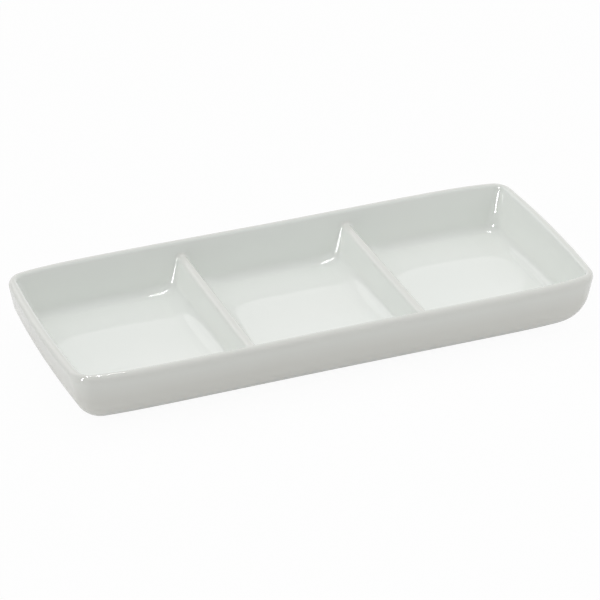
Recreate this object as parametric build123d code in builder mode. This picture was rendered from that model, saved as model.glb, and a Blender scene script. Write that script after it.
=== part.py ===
from build123d import *
import math
import os

# Divided serving tray: one press-moulded porcelain body with three wells in a row,
# dipped in clear glaze. Millimetres, +Z up, origin at the centre of the foot on the table.
# The glaze is modelled as its own solids, because it is a separate layer of glass.

# Outline of the tray, seen from above
tray_length = 250.0        # along X, at the widest line of the rim
tray_width = 107.0         # along Y, at the widest line of the rim
tray_height = 28.5         # table to the top of the rim
corner_radius = 13.0       # outer corners at the rim
foot_corner_radius = 6.0   # the same corners where the wall meets the foot
end_radius = 570.0         # the two short ends bow gently outwards on this radius

# Wall, from the rim down to the foot
wall_thickness = 5.2       # also the width of the rim
rim_radius = 2.2           # each side of the rounded rim
wall_draft = 10.5          # degrees that the wall leans outwards
roll_radius = 22.0         # the long curve that carries the wall under to the foot
roll_bands = 6             # leaning bands that make up that curve
foot_cut = 0.5             # the foot cuts the curve off this far above its lowest point

# Wells and dividers
well_depth = 21.4          # rim to the floor of the wells
well_fillet = 4.6          # wall to floor, divider to floor and divider to wall
well_corner_radius = 5.8   # corners of the end wells at the floor
middle_well_length = 77.7  # clear length between the two ridges
ridge_width = 4.7          # thickness of a divider just under its rounded top
ridge_drop = 5.7           # how far the top of a ridge lies below the rim
divider_draft = 13.0       # degrees that each side of a divider leans out to the floor

# Foot and glaze
foot_width = 4.2           # bare ring that stands on the table
recess_depth = 1.4         # hollow of the underside inside that ring
glaze_thickness = 0.35
glaze_line = 1.1           # the outer glaze is wiped back to this height above the table
glaze_margin = 1.2         # bare strip between the ring and the glaze of the underside

# The edges of the clay are cut plain under the glaze, which fills the hollow ones and thins
# over those of the rim
hollow_cut = (well_fillet + glaze_thickness) / 2
rim_cut = 0.6 * rim_radius

# Worked out from the sizes above
draft = math.radians(wall_draft)
slope = math.radians(divider_draft)
rim_line = tray_height - wall_thickness / 2
roll_centre_z = roll_radius - glaze_thickness - foot_cut
roll_top_z = roll_centre_z - roll_radius * math.sin(draft)
roll_centre_inset = (rim_line - roll_top_z) * math.tan(draft) + roll_radius * math.cos(draft)
foot_inset = roll_centre_inset - math.sqrt((roll_radius - glaze_thickness) ** 2 - roll_centre_z**2)
floor_z = tray_height - well_depth
well_corner_inset = wall_thickness + well_corner_radius + (rim_line - floor_z) * math.tan(draft)
divider_x = (middle_well_length + ridge_width) / 2
end_centre_x = tray_length / 2 - end_radius


def leaning_section(reach, depth, low, high):
    # a slice from low to high whose outer edge leans outwards as the wall does: reach is where
    # that edge crosses the rim line, depth how far inwards the slice runs
    low_x = reach - (rim_line - low) * math.tan(draft)
    high_x = reach - (rim_line - high) * math.tan(draft)
    with BuildSketch() as section:
        with BuildLine():
            Polyline((high_x, high), (low_x, low), (reach - depth, low), (reach - depth, high), close=True)
        make_face()
    return section.sketch


def leaning_block(inset, corner_inset, low, high):
    # the slice run along the two long sides and turned round the two bowed ends, with each corner
    # turned about its own upright axis. Both insets are measured from the rim line, one to the
    # leaning face and one to that axis
    axis_y = tray_width / 2 - corner_inset
    axis_x = end_centre_x + math.sqrt((end_radius - corner_inset) ** 2 - axis_y**2)
    corner_turn = math.degrees(math.acos(axis_y / (end_radius - corner_inset)))
    with BuildPart() as right_end:
        with BuildSketch(Plane((end_centre_x, 0, 0), x_dir=(1, 0, 0), z_dir=(0, -1, 0))):
            add(leaning_section(end_radius - inset, end_radius - inset, low, high))
        revolve(axis=Axis((end_centre_x, 0, 0), (0, 0, 1)))
    with BuildPart() as corner_waste:
        with BuildSketch(Plane((axis_x, axis_y, 0), x_dir=(0, 1, 0), z_dir=(1, 0, 0))):
            with Locations((0, -tray_height)):
                Rectangle(tray_width, 3 * tray_height, align=Align.MIN)
            add(leaning_section(corner_inset - inset, tray_width, low, high), mode=Mode.SUBTRACT)
        revolve(axis=Axis((axis_x, axis_y, 0), (0, 0, -1)), revolution_arc=corner_turn)
    waste = corner_waste.part + corner_waste.part.mirror(Plane.XZ)
    with BuildPart() as leaning:
        with BuildSketch(Plane.YZ.offset(-tray_length)):
            add(leaning_section(tray_width / 2 - inset, tray_width / 2 - inset, low, high))
            mirror(about=Plane.YZ)
        extrude(amount=2 * tray_length)
        add(right_end.part, mode=Mode.INTERSECT)
        add(right_end.part.mirror(Plane.YZ), mode=Mode.INTERSECT)
        add(waste, mode=Mode.SUBTRACT)
        add(waste.mirror(Plane.YZ), mode=Mode.SUBTRACT)
    return leaning.part


def outline(z, inset, radius):
    # the tray seen from above at one level, every side moved in by inset from the rim line
    side_y = tray_width / 2 - inset
    bow = end_radius - inset
    corner_x = end_centre_x + math.sqrt(bow**2 - side_y**2)
    end_x = end_centre_x + bow
    with BuildSketch(Plane.XY.offset(z)) as level:
        with BuildLine():
            Line((-corner_x, side_y), (corner_x, side_y))
            ThreePointArc((corner_x, side_y), (end_x, 0), (corner_x, -side_y))
            Line((corner_x, -side_y), (-corner_x, -side_y))
            ThreePointArc((-corner_x, -side_y), (-end_x, 0), (-corner_x, side_y))
        make_face()
        fillet(level.vertices(), radius)
    return level.sketch


def outer_wall(layer):
    # the outside of the tray: a leaning wall on top of the long curve that rolls under to the
    # foot, where the corners are tighter; layer is how deep under the glazed surface it lies
    roll = roll_radius - layer
    lowest = math.asin(roll_centre_z / roll)
    top_inset = roll_centre_inset - roll * math.cos(draft)
    top_corner = corner_radius - top_inset
    corner_loss = (top_corner - foot_corner_radius) / (foot_inset - top_inset)
    levels = []
    for step in range(roll_bands + 1):
        angle = draft + (lowest - draft) * step / roll_bands
        inset = roll_centre_inset - roll * math.cos(angle)
        corner = top_corner - corner_loss * (inset - top_inset)
        levels.append(outline(roll_centre_z - roll * math.sin(angle), inset, corner))
    upper = leaning_block(
        layer / math.cos(draft), corner_radius, roll_centre_z - roll * math.sin(draft), tray_height - layer
    )
    with BuildPart() as wall:
        loft(levels, ruled=True)
        add(upper)
    return wall.part


def wells(layer, soften, size):
    # the space inside the tray: one drafted pocket with both dividers taken out of it, then
    # every hollow edge softened alike, so a ridge flares where it runs into the wall
    floor = floor_z - layer
    pocket = leaning_block(
        wall_thickness - layer / math.cos(draft), well_corner_inset, floor, tray_height - layer
    )
    ridge = ridge_width / 2 - layer
    ridge_z = tray_height - ridge_drop - ridge_width / 2
    shoulder = ridge * math.cos(slope)
    shoulder_z = ridge_z + ridge * math.sin(slope)
    spread = shoulder + (shoulder_z - floor) * math.tan(slope)
    with BuildPart() as space:
        add(pocket)
        for x in (-divider_x, divider_x):
            with BuildSketch(Plane.XZ):
                with BuildLine():
                    Line((x - spread, floor), (x - shoulder, shoulder_z))
                    ThreePointArc((x - shoulder, shoulder_z), (x, ridge_z + ridge), (x + shoulder, shoulder_z))
                    Line((x + shoulder, shoulder_z), (x + spread, floor))
                    Line((x + spread, floor), (x - spread, floor))
                make_face()
            extrude(amount=tray_width / 2, both=True, mode=Mode.SUBTRACT)
        floor_edges = space.edges().group_by(Axis.Z)[0]
        divider_ends = space.edges().filter_by(
            lambda edge: abs(edge.center().X) < divider_x + spread
            and abs(edge.center().Y) > tray_width / 4
            and floor < edge.center().Z < tray_height - ridge_drop
        )
        soften(floor_edges + (divider_ends - floor_edges), size)
    return space.part


def tray_form(layer, soften, hollow_size, rim_size):
    # the whole tray at one depth under the glazed surface, its edges rounded or cut by soften
    outside = outer_wall(layer)
    inside = wells(layer, soften, hollow_size)
    with BuildPart() as form:
        add(outside)
        add(inside, mode=Mode.SUBTRACT)
        soften(form.edges().group_by(Axis.Z)[-1], rim_size)
    return form.part


def finish(piece, name):
    piece.part.label = name
    export_step(piece.part, f"parts/{name}.step")


os.makedirs("parts", exist_ok=True)
glazed_form = tray_form(0.0, fillet, well_fillet, rim_radius)
clay_form = tray_form(glaze_thickness, chamfer, hollow_cut, rim_cut)
ring_inset = foot_inset + foot_width

# the fired clay: wells, dividers, wall and foot in one piece
with BuildPart() as porcelain_body:
    add(clay_form)
    add(outline(0, ring_inset, foot_corner_radius))
    extrude(amount=recess_depth + glaze_thickness, mode=Mode.SUBTRACT)
finish(porcelain_body, "porcelain_body")

# the glass over the wells, the rim and the outside, ending in a wiped line above the foot
with BuildPart() as glaze_coat:
    add(glazed_form)
    add(clay_form, mode=Mode.SUBTRACT)
    with BuildSketch():
        Rectangle(2 * tray_length, 2 * tray_width)
    extrude(amount=glaze_line, mode=Mode.SUBTRACT)
finish(glaze_coat, "glaze_coat")

# the glass inside the foot ring
with BuildPart() as underside_glaze:
    add(outline(recess_depth, ring_inset + glaze_margin, foot_corner_radius))
    extrude(amount=glaze_thickness)
finish(underside_glaze, "underside_glaze")
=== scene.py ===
import math
import bpy
import numpy as np
from mathutils import Matrix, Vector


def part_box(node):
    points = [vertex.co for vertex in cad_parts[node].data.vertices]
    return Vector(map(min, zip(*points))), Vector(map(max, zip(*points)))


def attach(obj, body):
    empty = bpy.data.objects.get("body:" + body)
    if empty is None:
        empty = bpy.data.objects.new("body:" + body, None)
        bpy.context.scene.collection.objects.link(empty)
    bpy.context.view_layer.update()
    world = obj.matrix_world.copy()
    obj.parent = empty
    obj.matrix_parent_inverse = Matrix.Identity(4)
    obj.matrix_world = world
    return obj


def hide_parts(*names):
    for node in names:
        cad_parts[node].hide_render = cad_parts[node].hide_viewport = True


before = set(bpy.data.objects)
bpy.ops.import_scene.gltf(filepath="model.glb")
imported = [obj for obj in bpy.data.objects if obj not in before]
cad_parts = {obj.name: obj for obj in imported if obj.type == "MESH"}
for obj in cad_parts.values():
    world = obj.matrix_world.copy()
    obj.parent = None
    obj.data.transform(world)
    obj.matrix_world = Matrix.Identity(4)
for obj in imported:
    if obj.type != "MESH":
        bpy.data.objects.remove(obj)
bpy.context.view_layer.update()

mm = 0.001
coatLow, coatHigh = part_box("glaze_coat")
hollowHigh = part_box("underside_glaze")[1]
spreadRoom = 0.35    # mm kept free beside each long side, because the sides spread a little in the fire


# The tray, in millimetres. Insets are measured inwards from the widest line of the rim.
tray = {
    "halfLength": (coatHigh.x - coatLow.x) / 2 / mm,
    "halfWidth": (coatHigh.y - coatLow.y) / 2 / mm - spreadRoom,
    "height": coatHigh.z / mm,
    "cornerRadius": 7.0,         # plan view, at the rim
    "cornerLoss": 0.21,          # how much of each millimetre of inset the corners lose below the rim
    "tightestCorner": 1.2,       # and what they keep at least
    "endBow": 2.25,              # the short ends bulge this much in their middle
    "sideSpread": 1.3,           # the long sides part this much towards the ends
    "cornerEase": 5.4,           # and close in again by this much just before the corners
    "rimWaves": ((0.10, 3.1, 1.7, 0.6), (0.06, 7.3, -2.0, 0.0)),    # height, along, across, start
    "wallThickness": 5.2,
    "rimInner": 1.8,             # rounding of the rim, well side
    "rimStart": 1.3,             # which begins this many times its radius below the top
    "rimOuter": 2.5,             # rounding of the rim, outer side
    "rimFlare": 0.9,             # the inner wall opens by this much more
    "flareReach": 9.0,           # over this height below the top
    "wallDraft": math.radians(10.6),
    "rollRadius": 22.3,          # the long curve under the wall
    "rollBelow": 0.85,           # how far below the table that curve would reach
    "wellDepth": 21.4,
    "wellFillet": 4.6,           # wall to floor, away from the dividers
    "wellDish": 1.6,             # the middle of each well's floor lies this much lower
    "dishReach": 34.0,           # half the width of that dish
    "dishMargin": 8.0,           # it ends this far inside the well's nominal half length
    "dishShift": 2.0,            # and lies this much nearer the middle in the end wells
    "wellCornerRim": 2.6,        # inner corners at the rim and at the floor
    "wellCornerFloor": 7.2,
    "dividerX": 41.2,
    "ridgeRadius": 2.35,
    "ridgeDrop": 5.7,
    "ridgeFillet": 1.8,          # wall to divider at the height of the ridge
    "footFillet": 9.0,           # and where the divider runs out into the floor
    "filletFade": (9.0, 18.0),   # these give way to wellFillet between these distances from a divider
    "leftDividerShift": 1.5,     # the left divider was set this much nearer the middle
    "shiftReach": 24.0,          # and draws what lies this near along with it
    "dividerDraft": math.radians(13.0),
    "glaze": 0.35,
    "glazeLine": 1.1,            # height of the wiped edge of the outer glaze
    "edgeShares": (0.25, 0.6, 0.85),    # how much of the glaze is left on the last rows above that edge
    "footInset": 22.6,           # inner edge of the bare foot ring
    "footCorner": 3.0,           # and its corners
    "recess": hollowHigh.z / mm,
}

# How finely the skin is divided, in steps, and where, in millimetres from the tray's middle
grid = {
    "corner": 10,
    "end": 24,
    "fillet": 12,
    "wall": 15,
    "rim": 9,
    "outerWall": 8,
    "roll": 24,
    "sideEnds": (112.0, 62.0),                    # columns along a long side start and get closer here
    "acrossRidge": (10.0, 5.0, 2.3),              # and again at these distances from a divider
    "sideSteps": (18, 6, 11, 11, 14, 11, 11, 12),
    "steady": 58.0,         # columns nearer to the middle than this stay put in every loop
    "endBlend": 40.0,       # over this length the columns of the floor turn to follow the end
    "ballPasses": 14,       # corrections of the rolling ball, and halvings of the height it settles at
    "halvings": 26,
    "searchBelow": 0.5,     # that height is looked for from this far under the floor
    "searchAbove": 6.0,     # to this far over the rim
}


def planLoop(inset, radius):
    # One closed loop per row of inset: a rounded rectangle moved in by inset. Each quarter runs from
    # the middle of the right end, round a corner arc and along the long side to its middle; the
    # other three are its mirror images
    inset = inset[:, None]
    radius = radius[:, None]
    endX = tray["halfLength"] - inset
    sideY = tray["halfWidth"] - inset
    up = np.linspace(0, 1, grid["end"] // 2 + 1)[None, :-1]
    turn = np.linspace(0, math.pi / 2, grid["corner"] + 1)[None, :]
    stations = sideStations()
    along = stations[None, 1:]
    arcX = endX - radius
    # the stations near the middle stay put, so the dividers keep their columns in every loop
    steady = grid["steady"]
    far = np.clip((along - steady) / (stations[0] - steady), 0, 1)
    alongX = np.where(along > steady, steady + far * (arcX - steady), along)
    x = np.hstack([endX + 0 * up, arcX + radius * np.cos(turn), alongX])
    y = np.hstack([(sideY - radius) * up, sideY - radius + radius * np.sin(turn), sideY + 0 * along])
    loopX = np.hstack([x[:, :-1], -x[:, :0:-1], -x[:, :-1], x[:, :0:-1]])
    loopY = np.hstack([y[:, :-1], y[:, :0:-1], -y[:, :-1], -y[:, :0:-1]])
    return loopX, loopY


def sideStations():
    # Places along half of a long side, from the corner to the middle, close together across a divider
    divider = tray["dividerX"]
    distances = grid["acrossRidge"]
    stops = [*grid["sideEnds"]]
    stops += [divider + distance for distance in distances]
    stops += [divider - distance for distance in distances[::-1]]
    stops += [0.0]
    spans = zip(stops[:-1], stops[1:], grid["sideSteps"])
    return np.concatenate([np.linspace(a, b, n, endpoint=False) for a, b, n in spans] + [[0.0]])


def outerInset(z):
    # the outer wall leans by the draft about the line half a wall below the top
    return (tray["height"] - tray["wallThickness"] / 2 - z) * math.tan(tray["wallDraft"])


def innerInset(z):
    # the inner wall runs beside it, and opens by a parabola over the last part below the top
    flare = np.clip(1 - (tray["height"] - z) / tray["flareReach"], 0, 1) ** 2
    return tray["wallThickness"] + outerInset(z) - tray["rimFlare"] * flare


def wallProfile():
    # The cut through the wall as rows of inset, height and corner radius: floor fillet, inner wall,
    # rounded rim, outer wall and the long curve under it. The two walls are the curves above, the
    # rest are arcs, and each starts where the last one ends
    lean = tray["wallDraft"]
    rimLine = tray["height"] - tray["wallThickness"] / 2
    floor = tray["height"] - tray["wellDepth"]
    height = tray["height"]

    def arc(centreInset, centreZ, radius, start, stop, steps):
        angle = np.radians(np.linspace(start, stop, steps + 1))
        return centreInset + radius * np.cos(angle), centreZ + radius * np.sin(angle)

    leanDegrees = math.degrees(lean)
    fillet = tray["wellFillet"]
    filletInset, filletZ = arc(
        innerInset(floor + fillet) + fillet / math.cos(lean), floor + fillet, fillet,
        -90, -180 + leanDegrees, grid["fillet"],
    )
    inner = tray["rimInner"]
    innerStart = tray["rimStart"] * inner
    opening = 2 * tray["rimFlare"] * (1 - innerStart / tray["flareReach"]) / tray["flareReach"]
    innerLean = math.atan(math.tan(lean) + opening)
    startZ = height - inner + inner * math.sin(innerLean)
    innerRim = arc(
        innerInset(startZ) - inner * math.cos(innerLean), height - inner, inner,
        math.degrees(innerLean), 90, grid["rim"],
    )
    outer = tray["rimOuter"]
    outerRim = arc(
        outerInset(height - outer) + outer / math.cos(lean), height - outer, outer,
        90, 180 + leanDegrees, grid["rim"] + 2,
    )
    roll = tray["rollRadius"]
    rollZ = roll - tray["rollBelow"]
    lowest = math.degrees(math.asin(rollZ / (roll - tray["glaze"])))
    rollInset, rollHeight = arc(
        outerInset(rollZ) + roll / math.cos(lean), rollZ, roll,
        180 + leanDegrees, 180 + lowest, grid["roll"],
    )
    wallZ = np.linspace(filletZ[-1], innerRim[1][0], grid["wall"] + 1)[1:-1]
    outerZ = np.linspace(outerRim[1][-1], rollHeight[0], grid["outerWall"] + 1)[1:-1]
    inset = np.concatenate([
        filletInset, innerInset(wallZ), innerRim[0], outerRim[0], outerInset(outerZ), rollInset,
    ])
    z = np.concatenate([filletZ, wallZ, innerRim[1], outerRim[1], outerZ, rollHeight])

    # Corner radius of each row: in the wells it changes evenly with height, outside it shrinks with
    # the inset, and over the rim it passes evenly from one to the other
    inside = np.arange(len(z)) < len(filletZ) + len(wallZ)
    share = np.clip((z - floor) / (rimLine - floor), 0, 1)
    wallCorner = tray["wellCornerFloor"] + share * (tray["wellCornerRim"] - tray["wellCornerFloor"])
    wellCorner = wallCorner - np.maximum(inset - innerInset(z), 0)
    outerCorner = tray["cornerRadius"] - tray["cornerLoss"] * np.maximum(inset, 0)
    outerCorner = np.maximum(outerCorner, tray["tightestCorner"])
    rimShare = np.clip(inset / tray["wallThickness"], 0, 1)
    rimCorner = tray["cornerRadius"] + rimShare * (tray["wellCornerRim"] - tray["cornerRadius"])
    onRim = z > rimLine
    corner = np.where(inside, wellCorner, np.where(onRim, rimCorner, outerCorner))
    return inset, z, corner


def floorPatch(loopX, loopY):
    # Fills a loop with a grid: each column runs straight from the front side to the back side, and
    # near the two ends the columns follow the end's own line, by the square of how near they are
    cornerStep = grid["end"] // 2 + grid["corner"] // 2
    quarter = len(loopX) // 4
    back = np.arange(2 * quarter - cornerStep, cornerStep - 1, -1)
    front = np.arange(2 * quarter + cornerStep, 4 * quarter - cornerStep + 1)
    right = np.arange(-cornerStep, cornerStep + 1)
    left = np.arange(2 * quarter + cornerStep, 2 * quarter - cornerStep - 1, -1)
    up = (loopY[left] - loopY[left[0]]) / (loopY[left[-1]] - loopY[left[0]])
    up = up[:, None]
    near = np.clip(1 - (loopX[front] - loopX[front[0]]) / grid["endBlend"], 0, 1) ** 2
    far = near[::-1]
    x = (1 - up) * loopX[front] + up * loopX[back]
    x = x + near * (loopX[left][:, None] - (1 - up) * loopX[front[0]] - up * loopX[back[0]])
    x = x + far * (loopX[right][:, None] - (1 - up) * loopX[front[-1]] - up * loopX[back[-1]])
    y = (1 - up) * loopY[front] + up * loopY[back]
    count = len(loopX)
    rows, columns = x.shape
    index = np.zeros((rows, columns), int)
    index[0], index[-1] = front, back
    index[:, 0], index[:, -1] = left, right % count
    index[1:-1, 1:-1] = np.arange((rows - 2) * (columns - 2)).reshape(rows - 2, columns - 2)
    return x[1:-1, 1:-1].ravel(), y[1:-1, 1:-1].ravel(), index


def settleOnDividers(x, y, z):
    # Height of the glaze over the wells. A ball of the fillet radius rolls over floor, walls and
    # dividers at once: its centre keeps that distance from all three, and the surface is everything
    # the ball can't reach. The height is found by halving the gap between floor and rim. The floor
    # is dished by one less the fourth power along the well, times the square of one less the square
    # across it, and the ball's radius falls by a square from the floor to the ridge
    lean, slope = tray["wallDraft"], tray["dividerDraft"]
    floor = tray["height"] - tray["wellDepth"]
    crestZ = tray["height"] - tray["ridgeDrop"] - tray["ridgeRadius"]
    across = np.abs(np.abs(x) - tray["dividerX"])
    fadeStart, fadeEnd = tray["filletFade"]
    away = np.clip((across - fadeStart) / (fadeEnd - fadeStart), 0, 1)
    away = away * away * (3 - 2 * away)
    inMiddleWell = np.abs(x) < tray["dividerX"]
    endHalf = (tray["halfLength"] - tray["dividerX"]) / 2
    wellHalf = np.where(inMiddleWell, tray["dividerX"], endHalf) - tray["dishMargin"]
    wellCentre = np.where(inMiddleWell, 0, tray["dividerX"] + endHalf - tray["dishShift"])
    alongWell = np.clip((np.abs(x) - wellCentre) / wellHalf, -1, 1)
    acrossWell = np.clip(y / tray["dishReach"], -1, 1)
    floor = floor - tray["wellDish"] * (1 - alongWell**4) * (1 - acrossWell**2) ** 2

    def clearance(height):
        # distance of a point from the nearest place where the ball's centre may be, by cyclic
        # correction of the three pushes that keep the ball off floor, wall and divider
        share = np.clip((height - floor) / (crestZ - floor), 0, 1)
        radius = tray["ridgeFillet"] + (1 - share) ** 2 * (tray["footFillet"] - tray["ridgeFillet"])
        radius = radius + away * (tray["wellFillet"] - radius)
        side = tray["halfWidth"] - innerInset(height)
        toSide = (side - np.abs(y)) * math.cos(lean)
        reach = np.hypot(across, height - crestZ)
        onCrest = (height - crestZ) * math.cos(slope) > across * math.sin(slope)
        alongSlope = across * math.cos(slope) + (height - crestZ) * math.sin(slope)
        toDivider = np.where(onCrest, reach, alongSlope) - tray["ridgeRadius"]
        divUp = np.where(onCrest, (height - crestZ) / np.maximum(reach, 1e-6), math.sin(slope))
        short = [radius - (height - floor), radius - toSide, radius - toDivider]
        overlap = [math.sin(lean), divUp, math.sin(lean) * divUp]
        push = [np.zeros_like(height)] * 3
        for correction in range(grid["ballPasses"]):
            push[0] = np.maximum(0, short[0] - overlap[0] * push[1] - overlap[1] * push[2])
            push[1] = np.maximum(0, short[1] - overlap[0] * push[0] - overlap[2] * push[2])
            push[2] = np.maximum(0, short[2] - overlap[1] * push[0] - overlap[2] * push[1])
        return radius - np.sqrt(np.maximum(sum(p * s for p, s in zip(push, short)), 0))

    low = floor - grid["searchBelow"]
    high = np.full_like(z, tray["height"] + grid["searchAbove"])
    for halving in range(grid["halvings"]):
        trial = (low + high) / 2
        free = clearance(trial) > 0
        high = np.where(free, trial, high)
        low = np.where(free, low, trial)
    settled = (low + high) / 2
    flat = z < tray["height"] - tray["wellDepth"] + 1e-6
    return np.where(flat, settled, np.maximum(z, settled))


def firedShape(x, y, z):
    # The small changes of drying and firing, as powers of the place along and across the tray:
    # bulging ends, sides that spread a little and close in at the corners, a divider that slipped,
    # and a rim that waves by two sines of a tenth of a millimetre
    alongX = x / tray["halfLength"]
    alongY = y / tray["halfWidth"]
    lift = np.clip(z / tray["height"], 0, 1)
    newX = x - tray["endBow"] * alongY**2 * np.sign(x) * np.abs(alongX) ** 6
    newX = newX + tray["leftDividerShift"] * np.exp(-(((x + tray["dividerX"]) / tray["shiftReach"]) ** 2))
    newY = y + alongY * (tray["sideSpread"] * alongX**2 - tray["cornerEase"] * alongX**8)
    wave = sum(size * np.sin(a * alongX + b * alongY + start) for size, a, b, start in tray["rimWaves"])
    return newX, newY, z + wave * lift**2


# Painted shade: how far the tone is darkened towards the greyer colour, from 0 in the wells to 1, at
# heights in millimetres
paintedShadeByPlace = {
    "edges": 0.7,                                             # painted shade on the rim and on the ridges
    "ridgeHeights": (-2.5, -0.5, 0.3, 1.5),                   # from the top of a ridge
    "ridgeShadeShares": (0.0, 1.0, 1.0, 0.0),
    "outsideHeights": (0.0, 3.0, 8.0, 16.0, 24.0, 28.5),      # above the table; painted shade on the outer wall goes by these heights, most at mid height, less at the top and least at the foot
    "outsideShadeShares": (0.2, 0.5, 1.0, 0.95, 0.55, 0.7),
}


def paintedShadeShare(loopX, loopZ, patchX, patchZ):
    # The painted shade at each point of the loops and the floor patch. Outside it goes by height, over the
    # inner rounding of the rim it grows by a square, and on the ridges it is a bell curve across
    # times a band of heights
    inner = grid["fillet"] + grid["wall"]
    rimRows = inner + grid["rim"] + 1
    row = np.interp(loopZ[:, 0], paintedShadeByPlace["outsideHeights"], paintedShadeByPlace["outsideShadeShares"])
    row[inner:rimRows] = paintedShadeByPlace["edges"] * np.linspace(0, 1, rimRows - inner) ** 2
    crest = tray["height"] - tray["ridgeDrop"]

    def onRidge(x, z):
        across = np.abs(np.abs(x) - tray["dividerX"]) / tray["ridgeRadius"]
        nearCrest = np.interp(z - crest, paintedShadeByPlace["ridgeHeights"], paintedShadeByPlace["ridgeShadeShares"])
        return paintedShadeByPlace["edges"] * np.exp(-across**2) * nearCrest

    loopShade = np.repeat(row[:, None], loopX.shape[1], axis=1)
    loopShade[:inner] = onRidge(loopX[:inner], loopZ[:inner])
    return np.concatenate([loopShade.ravel(), onRidge(patchX, patchZ)])


def gridFaces(index):
    # quads of a grid of vertex numbers
    return np.stack([index[:-1, :-1], index[:-1, 1:], index[1:, 1:], index[1:, :-1]], -1).reshape(-1, 4)


def vertexNormals(points, faces):
    # normal of each vertex: the sum of the cross products of its faces' diagonals
    across = np.cross(points[faces[:, 2]] - points[faces[:, 0]], points[faces[:, 3]] - points[faces[:, 1]])
    normals = np.zeros_like(points)
    for corner in range(4):
        np.add.at(normals, faces[:, corner], across)
    return normals / np.linalg.norm(normals, axis=1, keepdims=True)


def traySkin():
    # The glazed surface as loops from the floor of the wells over the rim to the foot, with the
    # floor patch inside the first loop: its points, its faces, the numbers of the points in each
    # loop, and the painted shade at each point
    inset, z, corner = wallProfile()
    loopX, loopY = planLoop(inset, corner)
    rows, count = loopX.shape
    loopZ = np.repeat(z[:, None], count, axis=1)
    inner = grid["fillet"] + grid["wall"]      # the rows below the rounding of the rim
    loopZ[:inner] = settleOnDividers(loopX[:inner], loopY[:inner], loopZ[:inner])
    patchX, patchY, patchIndex = floorPatch(loopX[0], loopY[0])
    floor = np.full_like(patchX, tray["height"] - tray["wellDepth"])
    patchZ = settleOnDividers(patchX, patchY, floor)
    points = np.stack(firedShape(
        np.concatenate([loopX.ravel(), patchX]),
        np.concatenate([loopY.ravel(), patchY]),
        np.concatenate([loopZ.ravel(), patchZ]),
    ), axis=1)
    loops = np.arange(rows * count).reshape(rows, count)
    closed = np.hstack([loops, loops[:, :1]])
    patchIndex[1:-1, 1:-1] += rows * count
    faces = np.vstack([gridFaces(patchIndex), gridFaces(closed)[:, ::-1]])
    return points, faces, loops, paintedShadeShare(loopX, loopZ, patchX, patchZ)


def meshPiece(name, points, faces, material, paintedShade=None):
    # one smooth mesh from points in millimetres; points that no face uses are left out
    used = np.unique(faces)
    renumber = np.zeros(len(points), int)
    renumber[used] = np.arange(len(used))
    mesh = bpy.data.meshes.new(name)
    mesh.from_pydata(points[used] * mm, [], renumber[faces])
    # the painted shade is kept on the points as an attribute
    if paintedShade is not None:
        mesh.attributes.new("paintedShadeShare", "FLOAT", "POINT").data.foreach_set("value", paintedShade[used])
    mesh.validate()
    mesh.shade_smooth()
    mesh.materials.append(material)
    piece = bpy.data.objects.new(name, mesh)
    bpy.context.scene.collection.objects.link(piece)
    return piece


def linear(hexColour):
    # sRGB hex to linear colour
    parts = [int(hexColour[i:i + 2], 16) / 255 for i in (1, 3, 5)]
    return tuple(p / 12.92 if p <= 0.04045 else ((p + 0.055) / 1.055) ** 2.4 for p in parts) + (1.0,)


def addNode(tree, kind, settings=None, links=None):
    # adds a node, sets its properties and inputs by name, and links inputs to other nodes' outputs
    node = tree.nodes.new(kind)
    for key, value in (settings or {}).items():
        if isinstance(key, int) or key in node.inputs:
            node.inputs[key].default_value = value
        else:
            setattr(node, key, value)
    for key, (source, output) in (links or {}).items():
        tree.links.new(source.outputs[output], node.inputs[key])
    return node


# Clear gloss glaze over white feldspathic porcelain, dipped and fired to glass: a neutral white
# with a breath of green-grey, sharp reflections and a skin that is not quite flat
glazeLook = {
    "white": "#F8FAF6",
    "pooled": "#F5F9F5",
    "paintedShade": "#E6E6E0",        # painted shade: the greyer tone laid over the rim, the ridges and the outer wall
    "roughness": 0.03,
    "ior": 1.52,
    "cloud": 45.0,            # mm, size of the slow changes of tone
    "ripple": 9.0,            # mm, spacing of the waves left by the dip
    "rippleDepth": 0.012,     # mm
    "rippleStrength": 0.35,
}


def glazedPorcelain():
    # white passes into pooled by a slow noise and both into the greyer colour of painted shade by the
    # attribute that holds the painted shade, over a fine ripple in the bump
    material = bpy.data.materials.new("clearGlazeOnPorcelain")
    material.use_nodes = True
    tree = material.node_tree
    shader = tree.nodes["Principled BSDF"]
    shader.inputs["Roughness"].default_value = glazeLook["roughness"]
    shader.inputs["IOR"].default_value = glazeLook["ior"]
    place = addNode(tree, "ShaderNodeTexCoord")
    cloud = addNode(tree, "ShaderNodeTexNoise",
                    {"Scale": 1 / (glazeLook["cloud"] * mm), "Detail": 2.0, "Roughness": 0.5},
                    {"Vector": (place, "Object")})
    tone = addNode(tree, "ShaderNodeMix", {"data_type": "RGBA"}, {"Factor": (cloud, "Fac")})
    tone.inputs[6].default_value = linear(glazeLook["white"])
    tone.inputs[7].default_value = linear(glazeLook["pooled"])
    paintedShade = addNode(tree, "ShaderNodeAttribute", {"attribute_name": "paintedShadeShare"})
    shadedTone = addNode(tree, "ShaderNodeMix", {"data_type": "RGBA"}, {"Factor": (paintedShade, "Fac")})
    tree.links.new(tone.outputs[2], shadedTone.inputs[6])
    shadedTone.inputs[7].default_value = linear(glazeLook["paintedShade"])
    tree.links.new(shadedTone.outputs[2], shader.inputs["Base Color"])
    ripple = addNode(tree, "ShaderNodeTexNoise",
                     {"Scale": 1 / (glazeLook["ripple"] * mm), "Detail": 1.0},
                     {"Vector": (place, "Object")})
    bump = addNode(tree, "ShaderNodeBump",
                   {"Strength": glazeLook["rippleStrength"], "Distance": glazeLook["rippleDepth"] * mm},
                   {"Height": (ripple, "Fac")})
    tree.links.new(bump.outputs["Normal"], shader.inputs["Normal"])
    return material


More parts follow.
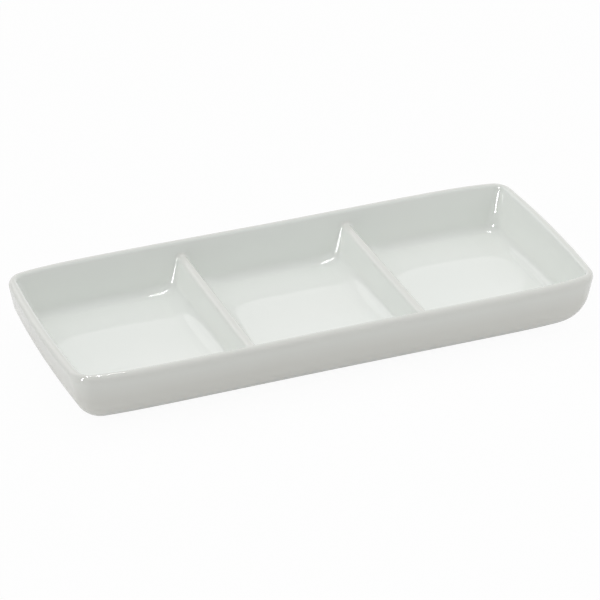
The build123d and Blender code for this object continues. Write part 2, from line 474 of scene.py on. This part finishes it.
# Bare fired porcelain on the foot ring, wiped clean before firing: matt, slightly warm, fine grit
biscuitLook = {
    "clay": "#D8D5CC",
    "rubbed": "#C9C5BA",
    "roughness": 0.62,
    "wear": 12.0,             # mm, size of the rubbed patches
    "grit": 0.5,              # mm, drawn coarser than the real grain so that it shows
    "gritDepth": 0.03,        # mm
    "gritStrength": 0.5,
}


def bareBiscuit():
    # clay passes into rubbed by a noise, over a fine grit in the bump
    material = bpy.data.materials.new("bareBiscuitPorcelain")
    material.use_nodes = True
    tree = material.node_tree
    shader = tree.nodes["Principled BSDF"]
    shader.inputs["Roughness"].default_value = biscuitLook["roughness"]
    place = addNode(tree, "ShaderNodeTexCoord")
    wear = addNode(tree, "ShaderNodeTexNoise", {"Scale": 1 / (biscuitLook["wear"] * mm), "Detail": 4.0},
                   {"Vector": (place, "Object")})
    tone = addNode(tree, "ShaderNodeMix", {"data_type": "RGBA"}, {"Factor": (wear, "Fac")})
    tone.inputs[6].default_value = linear(biscuitLook["clay"])
    tone.inputs[7].default_value = linear(biscuitLook["rubbed"])
    tree.links.new(tone.outputs[2], shader.inputs["Base Color"])
    grit = addNode(tree, "ShaderNodeTexNoise", {"Scale": 1 / (biscuitLook["grit"] * mm), "Detail": 2.0},
                   {"Vector": (place, "Object")})
    bump = addNode(tree, "ShaderNodeBump",
                   {"Strength": biscuitLook["gritStrength"], "Distance": biscuitLook["gritDepth"] * mm},
                   {"Height": (grit, "Fac")})
    tree.links.new(bump.outputs["Normal"], shader.inputs["Normal"])
    return material


glaze = glazedPorcelain()
biscuit = bareBiscuit()
print("materials ready")

# the last of these is the painted shade at each point, darkening the rim, the ridges and the outer wall
skin, skinFaces, loops, shadeShares = traySkin()
normals = vertexNormals(skin, skinFaces)
clay = skin - tray["glaze"] * normals
print("tray skin worked out:", len(skin), "points")


def glazeCoat():
    # The glass: the skin outside, the clay's surface inside, and between them a thinning edge
    # along the wiped line above the foot
    heights = clay[loops, 2].mean(axis=1)
    last = np.flatnonzero(heights > tray["glazeLine"])[-1]
    full = np.ones(len(skin))
    for back, share in enumerate(tray["edgeShares"]):
        full[loops[last - back]] = share
    outside = clay + tray["glaze"] * full[:, None] * normals
    rowOf = np.full(len(skin), -1)
    rowOf[loops.ravel()] = np.repeat(np.arange(loops.shape[0]), loops.shape[1])
    kept = skinFaces[rowOf[skinFaces].max(axis=1) <= last]
    edge = np.append(loops[last], loops[last][0])
    wipedEdge = gridFaces(np.stack([edge, edge + len(skin)]))[:, ::-1]
    points = np.vstack([outside, clay])
    faces = np.vstack([kept, kept[:, ::-1] + len(skin), wipedEdge])
    return meshPiece("glazeSkin", points, faces, glaze, np.tile(shadeShares, 2))


def clayBody():
    # The clay inside the glass, closed underneath by the foot ring and the shallow hollow within it
    points = clay.copy()
    points[loops[-1], 2] = 0.0
    footX, footY = planLoop(np.array([tray["footInset"]]), np.array([tray["footCorner"]]))
    footX, footY = firedShape(footX[0], footY[0], np.zeros_like(footX[0]))[:2]
    ring = np.stack([footX, footY, np.zeros_like(footX)], axis=1)
    ceilingX, ceilingY, ceilingIndex = floorPatch(footX, footY)
    ceiling = np.stack([ceilingX, ceilingY, np.full_like(ceilingX, tray["recess"])], axis=1)
    start = len(points)
    count = len(ring)
    ringLow = np.arange(start, start + count)
    ringHigh = ringLow + count
    under = np.stack([loops[-1], ringLow, ringHigh])
    under = np.hstack([under, under[:, :1]])
    ceilingIndex[1:-1, 1:-1] += start + 2 * count
    edges = ceilingIndex.copy()
    edges[1:-1, 1:-1] = -1
    ceilingIndex = np.where(edges >= 0, ringHigh[edges], ceilingIndex)
    points = np.vstack([points, ring, ring + [0, 0, tray["recess"]], ceiling])
    faces = np.vstack([skinFaces, gridFaces(under)[:, ::-1], gridFaces(ceilingIndex)[:, ::-1]])
    return meshPiece("clayBody", points, faces, biscuit)


coat = glazeCoat()
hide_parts("glaze_coat")
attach(coat, "root")
body = clayBody()
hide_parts("porcelain_body")
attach(body, "root")
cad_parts["underside_glaze"].data.materials.clear()
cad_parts["underside_glaze"].data.materials.append(glaze)
print("pieces built:", len(coat.data.polygons), len(body.data.polygons), "faces")


# White studio: a pale floor that keeps a soft shadow, and a white room around it
studio = {
    "floorWhite": "#FAFAFA",
    "floorRoughness": 0.9,
    "floorHalf": 4.0,        # m
    "floorDrop": 0.05,       # mm that the floor lies under the foot, so the two don't flicker
    "floorGlow": 0.95,       # share of plain white in what the camera sees of the floor
    "floorMirrored": 0.35,   # and in what the glaze mirrors of it
}

# The room gives more light from some sides: direction, strength, and how narrow the glow is
roomLight = {
    "ceiling": ((0.0, 0.0, 1.0), 1.16, 2.0),
    "leftWall": ((-1.0, 0.1, 0.25), 0.80, 3.0),
    "rightWall": ((1.0, 0.0, 0.25), 0.52, 3.0),
}

# What the glaze mirrors of it: a plain room with the white sweep behind the tray
roomMirrored = {
    "allRound": ((0.0, 0.0, 1.0), 0.6, 0.0),
    "sweep": ((0.25, 0.95, 0.2), 0.72, 1.5),
}

# Lamps by place, aim and size in metres, watts, and what they do: those that show are the glaze's
# highlights and light nothing, and the one that lights the tray doesn't show in the glaze
lamps = {
    "cornerLamp": ((-1.00, -0.43, 0.42), (0.0, 0.0, 0.0), (0.16, 0.66), 13.3, "shows"),
    "ceilingStrip": ((0.0, 0.30, 1.16), (0.0, 0.0, 0.0), (0.40, 0.06), 3.0, "shows"),
    "backLeftPanel": ((-0.55, 0.90, 0.75), (0.0, 0.0, 0.0), (0.80, 1.00), 1.8, "shows"),
    "rightFill": ((0.44, -0.28, 0.22), (0.06, 0.0, 0.0), (0.30, 0.30), 0.19, "lights"),
}


def studioFloor():
    # One large square under the foot. What is seen of it is its shaded white mixed with plain white,
    # by one share for the camera and another for the glaze
    mesh = bpy.data.meshes.new("studioFloor")
    size, level = studio["floorHalf"], -studio["floorDrop"] * mm
    corners = [(-size, -size, level), (size, -size, level), (size, size, level), (-size, size, level)]
    mesh.from_pydata(corners, [], [(0, 1, 2, 3)])
    floor = bpy.data.objects.new("studioFloor", mesh)
    bpy.context.scene.collection.objects.link(floor)
    material = bpy.data.materials.new("whiteSweep")
    material.use_nodes = True
    tree = material.node_tree
    shader = tree.nodes["Principled BSDF"]
    shader.inputs["Base Color"].default_value = linear(studio["floorWhite"])
    shader.inputs["Roughness"].default_value = studio["floorRoughness"]
    rays = addNode(tree, "ShaderNodeLightPath")
    glow = addNode(tree, "ShaderNodeEmission", {"Strength": 1.0})
    seen = addNode(tree, "ShaderNodeMath", {"operation": "MULTIPLY", 1: studio["floorGlow"]},
                   {0: (rays, "Is Camera Ray")})
    share = addNode(tree, "ShaderNodeMath", {"operation": "MULTIPLY_ADD", 1: studio["floorMirrored"]},
                    {0: (rays, "Is Glossy Ray"), 2: (seen, 0)})
    mix = addNode(tree, "ShaderNodeMixShader")
    tree.links.new(share.outputs[0], mix.inputs[0])
    tree.links.new(shader.outputs[0], mix.inputs[1])
    tree.links.new(glow.outputs[0], mix.inputs[2])
    tree.links.new(mix.outputs[0], tree.nodes["Material Output"].inputs["Surface"])
    mesh.materials.append(material)


def glowOf(tree, sides):
    # The glow of each side is the cosine of the angle to its direction, raised to its narrowness;
    # the sides are added up
    sky = addNode(tree, "ShaderNodeTexCoord")
    glow = addNode(tree, "ShaderNodeMath", {"operation": "ADD", 0: 0.0, 1: 0.0})
    for toward, strength, narrow in sides.values():
        unit = tuple(np.array(toward) / np.linalg.norm(toward))
        facing = addNode(tree, "ShaderNodeVectorMath", {"operation": "DOT_PRODUCT", 1: unit},
                         {0: (sky, "Generated")})
        facing = addNode(tree, "ShaderNodeMath", {"operation": "MAXIMUM", 1: 0.0}, {0: (facing, "Value")})
        facing = addNode(tree, "ShaderNodeMath", {"operation": "POWER", 1: narrow}, {0: (facing, 0)})
        glow = addNode(tree, "ShaderNodeMath", {"operation": "MULTIPLY_ADD", 1: strength},
                       {0: (facing, 0), 2: (glow, 0)})
    return glow


def studioLight():
    # The room lights the tray by one glow, shows in the glaze by another and is white to the camera;
    # the lamps are added to it
    world = bpy.data.worlds.new("whiteRoom")
    bpy.context.scene.world = world
    world.use_nodes = True
    tree = world.node_tree
    rays = addNode(tree, "ShaderNodeLightPath")
    level = addNode(tree, "ShaderNodeMapRange", {},
                    {"Value": (rays, "Is Glossy Ray"), "To Min": (glowOf(tree, roomLight), 0),
                     "To Max": (glowOf(tree, roomMirrored), 0)})
    level = addNode(tree, "ShaderNodeMapRange", {"To Max": 1.0},
                    {"Value": (rays, "Is Camera Ray"), "To Min": (level, 0)})
    background = tree.nodes["Background"]
    background.inputs["Color"].default_value = (1, 1, 1, 1)
    tree.links.new(level.outputs[0], background.inputs["Strength"])
    for name, (place, aim, size, watts, purpose) in lamps.items():
        light = bpy.data.lights.new(name, "AREA")
        light.shape = "RECTANGLE"
        light.size, light.size_y = size
        light.energy = watts
        lamp = bpy.data.objects.new(name, light)
        lamp.matrix_world = lookAlong(place, np.array(aim) - np.array(place))
        lamp.visible_camera = False
        lamp.visible_diffuse = purpose == "lights"
        lamp.visible_glossy = purpose == "shows"
        bpy.context.scene.collection.objects.link(lamp)


def lookAlong(place, forward):
    # a matrix at place whose -Z looks along forward, with +Y as near to up as it can be
    forward = np.array(forward) / np.linalg.norm(forward)
    right = np.cross(forward, (0, 0, 1))
    right = right / np.linalg.norm(right)
    up = np.cross(right, forward)
    rows = [[right[i], up[i], -forward[i], place[i]] for i in range(3)]
    return Matrix(rows + [[0, 0, 0, 1]])


# The photograph's viewpoint, in radians and metres, and its lens in millimetres
view = {
    "azimuth": -0.38300,      # from straight in front of the long side
    "elevation": 0.51252,
    "distance": 1.5464,
    "slideRight": -0.00072,
    "slideUp": 0.01439,
    "lower": 0.00084,         # m that the whole camera was let down at the end
    "lens": 205.68,
    "sensor": 36.0,
}


def photoCamera():
    # stands back from the tray's middle along the line of sight, slid sideways, up and down
    around, above = view["azimuth"], view["elevation"]
    level = math.cos(above)
    forward = np.array((-math.sin(around) * level, math.cos(around) * level, -math.sin(above)))
    right = np.array((math.cos(around), math.sin(around), 0.0))
    up = np.cross(right, forward)
    place = -forward * view["distance"] + view["slideRight"] * right + view["slideUp"] * up
    place[2] -= view["lower"]
    data = bpy.data.cameras.new("photoCamera")
    data.lens = view["lens"]
    data.sensor_width = view["sensor"]
    camera = bpy.data.objects.new("photoCamera", data)
    camera.matrix_world = lookAlong(place, forward)
    bpy.context.scene.collection.objects.link(camera)
    bpy.context.scene.camera = camera


studioFloor()
studioLight()
photoCamera()
bpy.context.scene.view_settings.view_transform = "Standard"
print("studio and camera ready")
